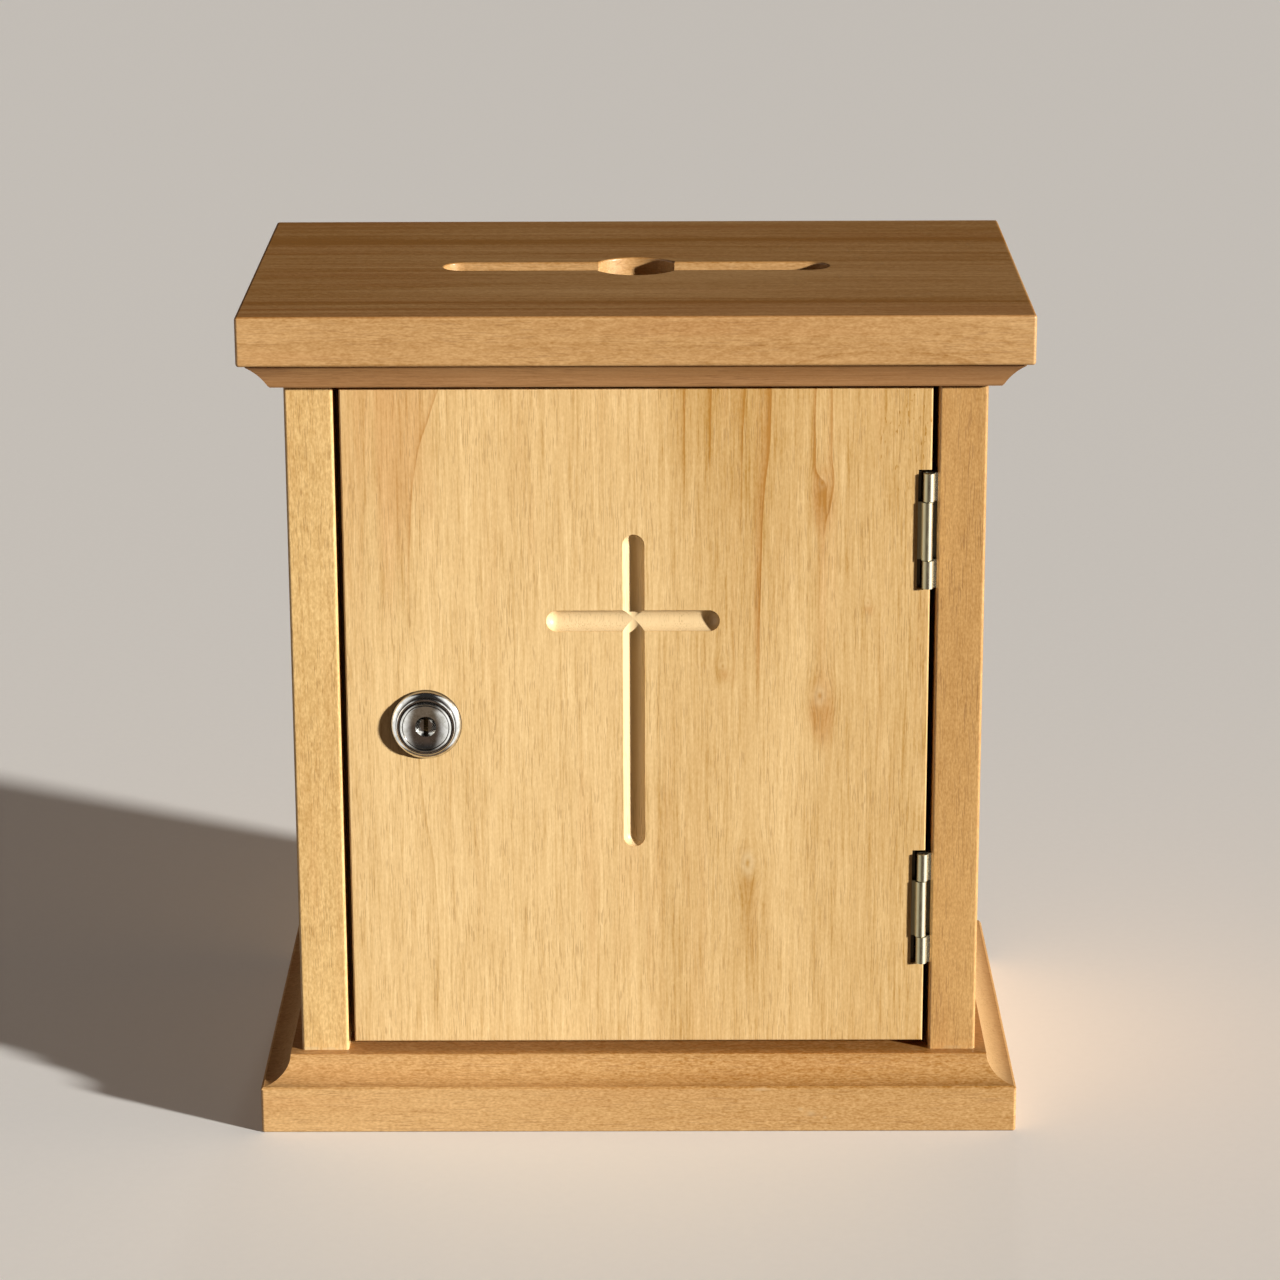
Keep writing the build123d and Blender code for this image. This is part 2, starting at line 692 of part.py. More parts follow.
def make_lock_cam():
    """Flat cam on the plug's tail; it hangs down unlocked and points left when locked."""
    with BuildPart() as cam:
        with BuildSketch(Plane.XZ.offset(-cam_back)):
            with Locations((lock_x, lock_z)):
                Circle(cam_hub_radius)
            with BuildSketch(mode=Mode.PRIVATE) as arm:
                with Locations((lock_x, lock_z - cam_length / 2)):
                    Rectangle(cam_width, cam_length)
                fillet(arm.vertices().group_by(Axis.Y)[0], cam_corner_radius)
            add(arm.sketch)
            with Locations((lock_x, lock_z)):
                Rectangle(tail_square + cam_fit, tail_square + cam_fit, mode=Mode.SUBTRACT)
        extrude(amount=cam_thickness)
    save(cam, "lock_cam")


def make_cam_fixing():
    """Washer and pan-head screw that hold the cam on the plug's tail."""
    with BuildPart() as washer:
        with BuildSketch(Plane.XZ.offset(-cam_back)):
            with Locations((lock_x, lock_z)):
                Circle(washer_radius)
                Circle(washer_bore, mode=Mode.SUBTRACT)
        extrude(amount=-washer_thickness)
    save(washer, "lock_cam_washer")
    head_front = cam_back + washer_thickness
    with BuildPart() as screw:
        with BuildSketch(Plane.XZ.offset(-head_front)):
            with Locations((lock_x, lock_z)):
                Circle(cam_screw_head_radius)
        extrude(amount=-cam_screw_head_height)
        fillet(screw.edges().group_by(Axis.Y)[-1], cam_screw_head_round)
        with BuildSketch(Plane.XZ.offset(-head_front)):
            with Locations((lock_x, lock_z)):
                Circle(cam_screw_radius)
        extrude(amount=cam_screw_length)
        for turn in (0, 90):
            with Locations(Location((lock_x, head_front + cam_screw_head_height, lock_z), (0, turn, 0))):
                Box(*cross_recess, mode=Mode.SUBTRACT)
    save(screw, "lock_cam_screw")


# ---------------------------------------------------------------- build
make_lid_board()
make_base_board()
make_side_panel(-1, "side_panel_left")
make_side_panel(1, "side_panel_right")
make_back_panel()
make_top_rail()
make_trim_front()
make_trim_side(-1, "cove_trim_left")
make_trim_side(1, "cove_trim_right")
make_stop_strip()
make_dowels()
fastener_group("base_screws", countersunk_shape(*base_screw, slot=True), base_screw_places)
fastener_group("back_panel_screws", countersunk_shape(*back_screw, slot=True), back_screw_places)
fastener_group("stop_strip_screws", countersunk_shape(*strip_screw, slot=True), strip_screw_places)
make_door_panel()
make_hinges()
make_lock_housing()
make_lock_plug()
make_lock_wafers()
make_wafer_springs()
make_lock_nut()
make_lock_cam()
make_cam_fixing()
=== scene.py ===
"""Looks of a small wooden donation box, made around its CAD frame.

Lengths are in metres in the row frame: +Z is up, the door faces -Y, and the origin is under the middle
of the box. Inside the shaders lengths are in millimetres.
"""

import math

import bpy
from mathutils import Matrix, Vector


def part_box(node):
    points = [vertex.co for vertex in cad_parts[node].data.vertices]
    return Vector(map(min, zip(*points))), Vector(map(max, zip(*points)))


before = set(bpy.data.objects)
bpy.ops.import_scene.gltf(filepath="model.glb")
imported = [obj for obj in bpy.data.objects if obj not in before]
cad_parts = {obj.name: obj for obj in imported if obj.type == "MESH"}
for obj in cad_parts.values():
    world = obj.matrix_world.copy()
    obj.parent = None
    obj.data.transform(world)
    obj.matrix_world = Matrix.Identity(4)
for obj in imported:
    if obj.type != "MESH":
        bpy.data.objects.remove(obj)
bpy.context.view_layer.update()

# Camera: where it stands, how it is turned, and its lens
CAMERA_PLACE = Vector((0.0061, -1.3281, 0.5482))
CAMERA_PITCH = math.radians(16.83)
CAMERA_YAW = math.radians(0.23)
CAMERA_ROLL = math.radians(-0.21)
CAMERA_LENS = 115.45
CAMERA_SENSOR = 36.0
CAMERA_RANGE = (0.1, 30.0)

# Lights. Azimuth turns from the door's front towards the right, and elevation rises from the floor, both in
# degrees. The key and the back light are far away: their power is in watts per square metre, and their spread
# in radians. The side light's power is in watts. The back light is for views from behind, and reflections
# leave it out.
KEY = dict(azimuth=61.0, elevation=12.0, spread=0.06, power=7.5, colour=(1.0, 0.985, 0.95))
SIDE = dict(azimuth=-72.0, elevation=8.0, distance=2.2, size=1.4, power=4.5, colour=(1.0, 0.80, 0.62))
BACK = dict(azimuth=176.0, elevation=2.0, spread=0.06, power=2.0, colour=(1.0, 0.93, 0.85))
LIGHT_AIM = Vector((0.0, 0.0, 0.14))
FILL_COLOUR = (1.0, 0.70, 0.52)
FILL_STRENGTH = 0.066
# Soft boxes that show only in reflections: the azimuths where each starts, is full and stops, and how bright
# it is. They fade out over BOX_SIDE_EDGE degrees at the stop. The other heights and edges, there and for the
# table and ceiling below, are the upward part of a unit direction.
LEFT_BOX = dict(start=-20.0, full=-50.0, stop=-112.0, bright=0.95)
RIGHT_BOX = dict(start=20.0, full=52.0, stop=108.0, bright=1.25)
BOX_LOW, BOX_HIGH = -0.72, 0.72
BOX_EDGE = 0.14
BOX_SIDE_EDGE = 12.0
BOX_WHITE = (1.0, 0.985, 0.95)
# What else polished metal reflects: a brown table below, a dim brown room ahead, and a dark ceiling
TABLE_GLOW = (0.16, 0.12, 0.085)
ROOM_GLOW = (0.085, 0.058, 0.043)
CEILING_GLOW = (0.026, 0.025, 0.025)
TABLE_EDGE = (-0.2, -0.6)
CEILING_EDGE = (0.1, 0.5)
FAR_LIGHT_DISTANCE = 3.0
FLOOR_RADIUS = 7.0
FLOOR_CORNERS = 96
FLOOR_COLOUR = (0.86, 0.84, 0.81)
FLOOR_GLOW = 0.05

MM = 1000.0

# Places on the frame that the shaders follow, in millimetres
DOOR_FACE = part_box("door_panel")[0][1] * MM
CASE_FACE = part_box("side_panel_right")[0][1] * MM
SIDE_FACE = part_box("side_panel_right")[1][0] * MM
HINGES = ("lower_hinge", "upper_hinge")


# ---------------------------------------------------------------- shader graphs


class Graph:
    """The nodes of one material, added by short calls. Values may be numbers, colours, Terms or sockets."""

    def __init__(self, name):
        self.material = bpy.data.materials.new(name)
        self.start(self.material)

    @classmethod
    def of_world(cls, world):
        graph = cls.__new__(cls)
        graph.start(world)
        return graph

    def start(self, owner):
        owner.use_nodes = True
        self.tree = owner.node_tree
        self.tree.nodes.clear()

    def put(self, socket, value):
        if isinstance(value, Term):
            value = value.socket
        if isinstance(value, bpy.types.NodeSocket):
            self.tree.links.new(value, socket)
        elif value is not None:
            if socket.type == "RGBA" and len(value) == 3:
                value = (*value, 1.0)
            socket.default_value = value

    def node(self, kind, settings=None, inputs=()):
        """Adds a node. Inputs is a dict by name or number."""
        made = self.tree.nodes.new(kind)
        for name, value in (settings or {}).items():
            setattr(made, name, value)
        for name, value in dict(inputs).items():
            self.put(made.inputs[name], value)
        return made

    def math(self, operation, *values):
        made = self.node("ShaderNodeMath", {"operation": operation}, enumerate(values))
        return Term(self, made.outputs[0])

    def position(self):
        """The point on the object at rest, as three Terms in millimetres."""
        place = self.node("ShaderNodeTexCoord").outputs["Object"]
        apart = self.node("ShaderNodeSeparateXYZ", None, {0: place})
        return [Term(self, socket) * MM for socket in apart.outputs]

    def combine(self, x, y, z):
        return self.node("ShaderNodeCombineXYZ", None, {0: x, 1: y, 2: z}).outputs[0]

    def noise(self, place, detail=2.0, roughness=0.5):
        """Smooth noise about 0, mostly within -0.25 and 0.25, one unit of place to a lump."""
        inputs = {"Vector": place, "Scale": 1.0, "Detail": detail, "Roughness": roughness}
        return Term(self, self.node("ShaderNodeTexNoise", None, inputs).outputs[0]) - 0.5

    def blend(self, factor, a, b, clamp=True):
        """Colour a where factor is 0, and b where it is 1."""
        settings = {"data_type": "RGBA", "clamp_factor": clamp}
        return self.node("ShaderNodeMix", settings, {0: factor, 6: a, 7: b}).outputs[2]

    def curve(self, value, points):
        """A smooth curve through a few (input, output) points, all from 0 to 1."""
        made = self.node("ShaderNodeFloatCurve", None, {"Value": value})
        line = made.mapping.curves[0]
        for index, (x, y) in enumerate(points):
            if index < 2:
                line.points[index].location = (x, y)
            else:
                line.points.new(x, y)
        made.mapping.update()
        return Term(self, made.outputs[0])

    def bump(self, height, depth, strength):
        inputs = {"Height": height, "Distance": depth / MM, "Strength": strength}
        return self.node("ShaderNodeBump", None, inputs).outputs[0]

    def surface(self, inputs):
        """Ends the graph with a Principled shader."""
        shader = self.node("ShaderNodeBsdfPrincipled", None, inputs)
        self.node("ShaderNodeOutputMaterial", None, {"Surface": shader.outputs[0]})
        return self.material


class Term:
    """A number in a graph. Arithmetic on it adds Math nodes."""

    def __init__(self, graph, socket):
        self.graph = graph
        self.socket = socket

    def __add__(self, other):
        return self.graph.math("ADD", self, other)

    def __radd__(self, other):
        return self.graph.math("ADD", other, self)

    def __sub__(self, other):
        return self.graph.math("SUBTRACT", self, other)

    def __rsub__(self, other):
        return self.graph.math("SUBTRACT", other, self)

    def __mul__(self, other):
        return self.graph.math("MULTIPLY", self, other)

    def __truediv__(self, other):
        return self.graph.math("DIVIDE", self, other)

    def __pow__(self, other):
        return self.graph.math("POWER", self, other)

    def root(self):
        return self.graph.math("SQRT", self)

    def fraction(self):
        return self.graph.math("FRACT", self)

    def exp(self):
        return self.graph.math("EXPONENT", self)

    def least(self, other):
        return self.graph.math("MINIMUM", self, other)

    def most(self, other):
        return self.graph.math("MAXIMUM", self, other)

    def ramp(self, low, high):
        """0 at low and 1 at high, with a smooth step between. Low may be the larger one."""
        if low > high:
            return 1.0 - self.ramp(high, low)
        inputs = {0: self, 1: low, 2: high, 3: 0.0, 4: 1.0}
        made = self.graph.node("ShaderNodeMapRange", {"interpolation_type": "SMOOTHSTEP"}, inputs)
        return Term(self.graph, made.outputs[0])


# ---------------------------------------------------------------- wood

# Factors on a board's mean colour, by channel: its palest and darkest wood, the same where it is reddish, its
# open pores, and bare wood that was cut after the finish, also used for a painted sheen on the base's right
# end
PALE_WOOD = (1.12, 1.15, 1.25)
DARK_WOOD = (0.70, 0.60, 0.44)
PALE_RED_WOOD = (1.02, 0.90, 0.88)
DARK_RED_WOOD = (0.70, 0.52, 0.38)
PORE_WOOD = (0.42, 0.32, 0.20)
CUT_WOOD_AND_SHEEN = (0.98, 1.08, 1.36)
# How far the tone may pass the palest and the darkest wood, where those are 0 and 1
TONE_LIMITS = (-0.4, 1.4)
# Thickness of a growth line's dark edge, in millimetres
LINE_WIDTH = 0.55
# How fast a knot's eye and its ring fall off, beside the bending of the grain round it
EYE_FALL = 30.0
RING_FALL = 9.0

# Mean colours of the boards, linear
DOOR_TONE = (0.745, 0.512, 0.230)
LEFT_TONE = (0.666, 0.432, 0.168)
# Darker than the left panel partly as painted light falloff towards the right
RIGHT_TONE = (0.502, 0.279, 0.091)
LID_TONE = (0.515, 0.295, 0.113)
BASE_TONE = (0.580, 0.338, 0.129)
# A little darker than the lid, though the same wood, as painted shade under the lid
TRIM_TONE = (0.47, 0.242, 0.094)
DOWEL_TONE = (0.68, 0.47, 0.26)
PLY_TONE = (0.70, 0.45, 0.20)


def scaled(colour, *factors):
    """A colour with each channel multiplied by its factor, or all by one factor."""
    factors = factors if len(factors) == 3 else factors * 3
    return tuple(c * f for c, f in zip(colour, factors))


class Board:
    """Grain of one board: across and deep are square to the grain, along runs with it, all in millimetres."""

    def __init__(self, graph, grain, seed):
        x, y, z = graph.position()
        self.graph = graph
        self.seed = seed
        self.across, self.deep, self.along = {"x": (y, z, x), "y": (x, z, y), "z": (x, y, z)}[grain]

    def place(self, wide, long, shift=0.0):
        """A point for noise whose lumps are this wide and this long."""
        start = self.seed * 7.31 + shift
        return self.graph.combine(
            self.across / wide + start, self.deep / wide - start, self.along / long + 2.0 * start
        )

    def noise(self, wide, long, detail=2.0, roughness=0.5, shift=0.0):
        return self.graph.noise(self.place(wide, long, shift), detail, roughness)


def knot(board, across, along, wide, long, pale=0.5, dark=0.6, tail=0.0):
    """A small knot: the board's grain bends round it, its eye is ringed, and darker wood spreads below it.

    Gives its darkness, its paleness and its redness.
    """
    side = board.across - across
    up = board.along - along
    spread = side * side / (wide * wide) + up * up / (long * long)
    inside = (spread * -1.0).exp()
    eye = (spread * -EYE_FALL).exp()
    ring = (spread * -RING_FALL).exp() - eye
    darkness = (inside - ring) * (0.35 * dark) + eye * (0.6 * dark)
    red = inside * (0.5 * dark)
    if tail:
        reach = up * (-0.45 / tail) * wide + wide * 0.9
        below = up.ramp(long * 0.2, -long * 0.8) * up.ramp(-tail, -tail * 0.35)
        halo = (side * side / (reach * reach) * -1.2).exp() * below
        darkness = darkness + halo * (0.55 * dark)
        red = red + halo * (0.9 * dark)
    board.across = board.across - side * inside * 0.7
    return darkness, ring * pale, red


def grain_line(board, points, tail, strength, side=-1.0, edge=0.35, fade=(0.0, 0.0), wobble=0.5):
    """A growth line through (along, across) points: a thin dark edge, and a warm tail fading to one side.

    Gives the edge and the tail.
    """
    low, high = points[0][0], points[-1][0]
    near = min(p[1] for p in points) - 1.0
    far = max(p[1] for p in points) + 1.0
    share = (board.along - low) / (high - low)
    way = [((a - low) / (high - low), (c - near) / (far - near)) for a, c in points]
    line = board.graph.curve(share, way) * (far - near) + near
    away = (board.across - line) * side + board.noise(14.0, 26.0, 2.0, 0.5, points[0][1]) * wobble
    soft = away.ramp(-edge, 0.0) * ((away.most(0.0) / tail) * -1.0).exp()
    thin = away.ramp(-edge, 0.0) * ((away.most(0.0) / LINE_WIDTH) * -1.0).exp()
    start, stop = fade
    shown = share.ramp(-0.001 - start * 0.2, start) * share.ramp(1.001 + stop * 0.2, 1.0 - stop)
    return thin * shown * strength, soft * shown * strength


def wood(name, tone, grain, seed, features=None, pith=(30.0, -70.0), rings=0.16, spacing=9.0,
         streaks=1.0, pores=0.42, speckle=0.5, tilt=0.02, salmon=0.5):
    """Lacquered light hardwood. Tone is its mean colour, and features adds what is special to one board."""
    graph = Graph(name)
    board = Board(graph, grain, seed)
    extra_dark, extra_pale, tint = 0.0, 0.0, 0.0
    if features:
        extra_dark, extra_pale, tint = features(board)
    drift = board.noise(55.0, 210.0, 2.0) * 30.0
    off_pith = board.across - pith[0] + drift
    depth = board.deep - pith[1]
    radius = (off_pith * off_pith + depth * depth).root() + board.along * tilt
    growth = ((radius / spacing).fraction() ** 2.4) * (board.noise(24.0, 150.0, 1.0, shift=3.0) + 0.5)
    fine = board.noise(0.75, 19.0, 3.0, 0.62, shift=1.0)
    wide = board.noise(2.3, 95.0, 2.0, 0.6, shift=5.0)
    patch = board.noise(26.0, 110.0, 1.0, shift=8.0)
    warm = board.noise(7.0, 130.0, 2.0, shift=17.0)
    crowd = board.noise(6.0, 30.0, 1.0, shift=13.0).ramp(-0.25, 0.15)
    dash = board.noise(0.33, 6.0, 0.0, shift=21.0).ramp(0.10, 0.19) * crowd
    speck = board.noise(0.55, 1.3, 1.0, shift=34.0)
    lines = fine.ramp(0.0, 0.24) * 0.4 - fine.ramp(0.0, -0.24) * 0.3
    dark = 0.30 + (lines + wide * 0.62) * streaks + growth * rings + patch * 0.4
    dark = (dark + speck * speckle + extra_dark).most(TONE_LIMITS[0]).least(TONE_LIMITS[1])
    body = graph.blend(dark, scaled(tone, *PALE_WOOD), scaled(tone, *DARK_WOOD), clamp=False)
    warm_body = graph.blend(dark, scaled(tone, *PALE_RED_WOOD), scaled(tone, *DARK_RED_WOOD), clamp=False)
    red = (patch + warm * 1.3 + tint).ramp(-0.05, 0.6) * salmon
    body = graph.blend(red, body, warm_body)
    # Paler towards bare cut wood; on the base's right end this paleness is a painted sheen
    if not isinstance(extra_pale, float):
        body = graph.blend(extra_pale, body, scaled(tone, *CUT_WOOD_AND_SHEEN))
    body = graph.blend(dash * pores, body, scaled(tone, *PORE_WOOD))
    height = fine * 0.5 - dash
    return graph.surface({
        "Base Color": body,
        "Roughness": 0.43 + fine * 0.14 + dash * 0.12,
        "Specular IOR Level": 0.42,
        "Coat Weight": 0.16,
        "Coat Roughness": 0.22,
        "Normal": graph.bump(height, 0.05, 0.35),
    })


# The door's middle, where only the cross is cut in, to each side, and how deep its bare wood can lie
CROSS_REACH = 36.0
CUT_DEPTH = 4.2
# Where the door's hinge notch pockets start, across; painted shade darkens the pockets from there
NOTCH_START = 88.2

DOOR_KNOTS = (
    dict(across=59.0, along=146.9, wide=4.6, long=8.0, pale=0.7, dark=0.6, tail=22.0),
    dict(across=36.0, along=89.4, wide=5.2, long=10.0, pale=0.9, dark=0.6, tail=55.0),
    dict(across=27.7, along=157.1, wide=2.6, long=4.0, pale=0.3, dark=0.5, tail=9.0),
    dict(across=59.2, along=217.9, wide=3.4, long=5.5, pale=0.3, dark=0.7, tail=20.0),
    dict(across=74.2, along=178.0, wide=2.0, long=3.2, pale=0.4, dark=0.4, tail=6.0),
)

# Growth lines on the door: points (along, across), then the tail's width, strength, and how the ends fade
DOOR_LINES = (
    (((150.0, -72.6), (205.0, -72.3), (224.0, -70.2), (240.0, -65.6), (249.0, -62.4)),
     9.0, 0.6, (0.5, 0.0)),
    (((27.0, -67.0), (60.0, -65.7), (82.0, -66.1), (113.0, -69.8), (160.0, -72.3)),
     5.0, 0.5, (0.1, 0.5)),
    (((130.0, 39.2), (179.0, 39.6), (210.0, 40.4), (233.0, 42.4), (249.0, 42.7)),
     2.6, 1.0, (0.5, 0.0)),
    (((205.0, 60.6), (218.0, 59.2), (224.0, 57.2), (233.0, 56.8), (249.0, 57.0)),
     1.6, 0.8, (0.2, 0.0)),
    (((190.0, 59.6), (204.0, 60.2), (211.0, 61.7), (233.0, 62.1), (249.0, 62.0)),
     1.4, 0.6, (0.4, 0.0)),
    (((200.0, 15.0), (227.0, 15.3), (249.0, 15.6)), 1.4, 0.6, (0.5, 0.0)),
    (((205.0, 23.2), (221.0, 23.4), (249.0, 23.8)), 1.6, 0.6, (0.5, 0.0)),
    (((190.0, 33.4), (225.0, 33.6), (249.0, 34.6)), 2.4, 0.6, (0.6, 0.0)),
)


def door_features(board):
    """Knots, growth lines and stave tones of the door; painted light falloff and painted notch shade."""
    across, along = board.across, board.along
    staves = across.ramp(6.8, 7.2) * 0.16 - across.ramp(42.5, 43.5) * 0.08 + across.ramp(56.0, 58.0) * 0.10
    # Stave tones, and painted light falloff: darker towards the right
    dark = staves + across.ramp(-60.0, 20.0) * 0.08 + across.ramp(55.0, 94.0) * 0.10 - 0.02
    pale = 0.0
    red = -0.1
    for spec in DOOR_KNOTS:
        darker, paler, redder = knot(board, **spec)
        dark = dark + darker
        pale = paler + pale
        red = redder + red
    for points, tail, strength, fade in DOOR_LINES:
        thin, soft = grain_line(board, points, tail, strength, fade=fade)
        dark = dark + thin * 0.7 + soft * 0.24
        red = red + thin * 0.4 + soft * 0.45
    red = across.ramp(-58.0, -76.0) * along.ramp(150.0, 235.0) * 0.45 + red
    flecks = board.noise(0.7, 2.6, 1.0, shift=52.0).ramp(0.16, 0.24)
    worn_corner = across.ramp(70.0, 82.0) * along.ramp(205.0, 232.0)
    edge_band = across.ramp(80.0, 86.0) * board.noise(0.8, 26.0, 2.0, shift=55.0).ramp(0.04, 0.2)
    dark = dark + flecks * (worn_corner * 0.7 + edge_band * 0.3) + edge_band * 0.3
    # Painted light falloff: darker towards the top
    dark = dark + along.ramp(170.0, 250.0) * 0.12
    sunk = board.deep.ramp(DOOR_FACE + 0.25, DOOR_FACE + 0.6)
    sunk = sunk * board.deep.ramp(DOOR_FACE + CUT_DEPTH, DOOR_FACE + CUT_DEPTH - 0.6)
    groove = sunk * across.ramp(-CROSS_REACH, 1.0 - CROSS_REACH)
    groove = groove * across.ramp(CROSS_REACH, CROSS_REACH - 1.0)
    notch_shade = 0.0
    for hinge in HINGES:
        low, high = (corner[2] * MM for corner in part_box(f"{hinge}_pin"))
        notch_shade = along.ramp(low - 0.9, low - 0.4) * along.ramp(high + 1.6, high + 1.1) + notch_shade
    upper_right = across.ramp(2.0, 26.0) * across.ramp(66.0, 38.0) * along.ramp(150.0, 235.0)
    dark = dark + upper_right * 0.24 + across.ramp(-52.0, -78.0) * along.ramp(150.0, 235.0) * 0.16
    # Painted shade in the hinge notch pockets
    dark = dark + notch_shade * sunk * across.ramp(NOTCH_START, NOTCH_START + 0.8) * 1.2
    return dark, pale + groove * 0.75, red


# Dark bands along the lid's top: place across, width and strength
LID_BANDS = ((43.0, 4.0, 0.55), (-57.0, 2.5, 0.6), (-66.0, 1.2, 0.4), (20.0, 1.5, 0.25))
# Centre of the arched growth lines on the lid's front edge: along and up
LID_ARCH = (78.0, 258.0)


def lid_features(board):
    """Dark bands and painted shade on the lid's top, and arched growth lines at the right of its front edge.
    """
    across, along = board.across, board.along
    top = board.deep.ramp(274.2, 274.9)
    drift = board.noise(60.0, 160.0, 1.0, shift=40.0) * 8.0
    # Streaks along the top, over painted shade: the top face starts darker than the front edge
    dark = board.noise(2.2, 170.0, 3.0, 0.65, shift=41.0) * 1.5 + 0.44
    for place, width, strength in LID_BANDS:
        off = (across + drift - place) / width
        dark = dark + (off * off * -1.0).exp() * strength
    # Painted light falloff: the top darker towards the back
    dark = dark + across.ramp(-25.0, 70.0) * 0.22
    dark = dark + along.ramp(-30.0, -120.0) * 0.22 + along.ramp(20.0, 110.0) * 0.1
    red = across.ramp(-50.0, -68.0) * top * 0.5
    front = 1.0 - top
    side, rise = along - LID_ARCH[0], board.deep - LID_ARCH[1]
    arch = ((side * side / 26.0 + rise * rise) / 34.0).root()
    arches = arch.fraction().ramp(0.75, 1.0) * arch.ramp(3.0, 1.2) * 0.30
    pale_end = along.ramp(-85.0, -124.0) * 0.22 + along.ramp(90.0, 124.0) * 0.16
    mottle = board.noise(1.6, 5.0, 2.0, 0.6, shift=44.0) + 0.06
    return dark * top + (arches - pale_end + mottle) * front, 0.0, red


# Small pale dings: place along and up the base's front, then length and height
BASE_DINGS = ((40.5, 15.0, 2.6, 0.45), (57.0, 6.4, 1.3, 1.0), (53.5, 8.0, 0.7, 0.5), (61.5, 5.0, 0.6, 0.5))


def base_features(board):
    """A darker routed cove with a painted shade line at its foot, painted light paler to the left, and small
    pale dings.
    """
    x, height = board.along, board.deep
    cove = height.ramp(15.2, 16.0) * height.ramp(24.4, 23.4)
    # Painted shade: a thin dark line at the cove's foot, and the base's top darker and redder under the door
    foot = (height - 15.5) / 0.32
    shelf_shade = height.ramp(23.5, 23.95)
    dark = cove * 0.34 + (foot * foot * -1.0).exp() * 0.45
    # Painted light falloff: paler towards the left end, darker towards the right
    dark = dark + x.ramp(-115.0, 90.0) * 0.44 + shelf_shade * 0.55 - 0.28
    dark = dark + board.noise(1.3, 3.2, 2.0, 0.6, shift=61.0) * 0.9
    pale = 0.0
    for along, up, long, tall in BASE_DINGS:
        off_x, off_z = (x - along) / long, (height - up) / tall
        pale = ((off_x * off_x + off_z * off_z) * -1.0).exp() * 0.85 + pale
    # A painted sheen: the cove paler on the base's right end
    side = (x - SIDE_FACE - (CASE_FACE - board.across).most(0.0)).ramp(0.0, 0.4)
    return dark, pale + cove * side * 0.6, shelf_shade * 0.5


def panel_features(board):
    """A pale chipped edge at the foot, and painted light falloff: paler low down."""
    chip = board.along.ramp(25.5, 24.7) * board.noise(3.0, 3.0, 1.0, shift=71.0).ramp(-0.08, 0.05)
    mottle = board.noise(2.6, 8.0, 2.0, 0.6, shift=72.0) * 0.7
    # Painted light falloff: paler low down
    return mottle + board.along.ramp(170.0, 40.0) * -0.16, chip * 0.9, 0.0


def plywood(name, tone, seed):
    """Back panel: rotary-cut face veneers with wide figure, and crossed layers at its edges."""
    graph = Graph(name)
    board = Board(graph, "z", seed)
    layer = ((board.deep + 40.0) / 2.0).fraction().ramp(0.46, 0.54)
    figure = (board.noise(26.0, 160.0, 1.0) * 9.0 + board.across / 30.0).fraction() ** 1.6
    fine = board.noise(0.6, 22.0, 2.0, 0.6, shift=2.0)
    dash = board.noise(0.4, 4.0, 0.0, shift=9.0).ramp(0.16, 0.24)
    dark = 0.25 + figure * 0.35 + fine * 0.7
    face = graph.blend(dark, scaled(tone, 1.08, 1.1, 1.16), scaled(tone, 0.8, 0.7, 0.56))
    face = graph.blend(dash * 0.45, face, scaled(tone, 0.55, 0.42, 0.3))
    edge = graph.blend(layer, scaled(tone, 0.95), scaled(tone, 0.72, 0.64, 0.55))
    normal = graph.node("ShaderNodeNewGeometry").outputs["Normal"]
    facing = Term(graph, graph.node("ShaderNodeSeparateXYZ", None, {0: normal}).outputs["Y"])
    body = graph.blend((facing * facing).ramp(0.2, 0.6), edge, face)
    return graph.surface({
        "Base Color": body,
        "Roughness": 0.55 + fine * 0.2,
        "Specular IOR Level": 0.35,
        "Normal": graph.bump(fine - dash, 0.05, 0.4),
    })


# ---------------------------------------------------------------- metal

# Near-black, for the painted shade on the lock and the hinges
SHADE_DARK = (0.035, 0.024, 0.016)
# Dimmer olive brass, for the knuckles' painted reflection on their door side
PAINTED_DULL_BRASS = (0.40, 0.35, 0.20)
# Radii on the lock's face, in millimetres, where dark shade is painted: the flange's rim, and the grooves
# between the rings
FLANGE_RIM = (10.95, 11.45)
LOCK_RINGS = (7.53, 8.4, 9.65)
RING_WIDTH = 0.14


def lock_shade_paint(x, y, z):
    """Painted shade: a dark line where the flange meets the door and in the grooves between the lock's rings.
    """
    low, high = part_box("lock_plug")
    off_x, off_z = x - (low[0] + high[0]) * 0.5 * MM, z - (low[2] + high[2]) * 0.5 * MM
    radius = (off_x * off_x + off_z * off_z).root()
    shaded = radius.ramp(*FLANGE_RIM) * y.ramp(DOOR_FACE - 2.0, DOOR_FACE - 0.6)
    for ring in LOCK_RINGS:
        off = (radius - ring) / RING_WIDTH
        shaded = ((off * off * -1.0).exp() * y.ramp(DOOR_FACE + 0.2, DOOR_FACE - 0.4)).most(shaded)
    return shaded * 0.92, SHADE_DARK


def hinge_shade_paint(x, y, z):
    """Painted reflection and shade: the knuckles' door side a dimmer brass, the leaves dark where let in."""
    low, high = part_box("upper_hinge_pin")
    axis = (low[0] + high[0]) * 0.5 * MM
    let_in_shade = y.ramp(DOOR_FACE + 0.4, DOOR_FACE + 1.4)
    dull_reflection = x.ramp(axis + 0.25, axis - 0.15) * 0.85
    return dull_reflection.most(let_in_shade * 0.9), y.graph.blend(let_in_shade, PAINTED_DULL_BRASS, SHADE_DARK)


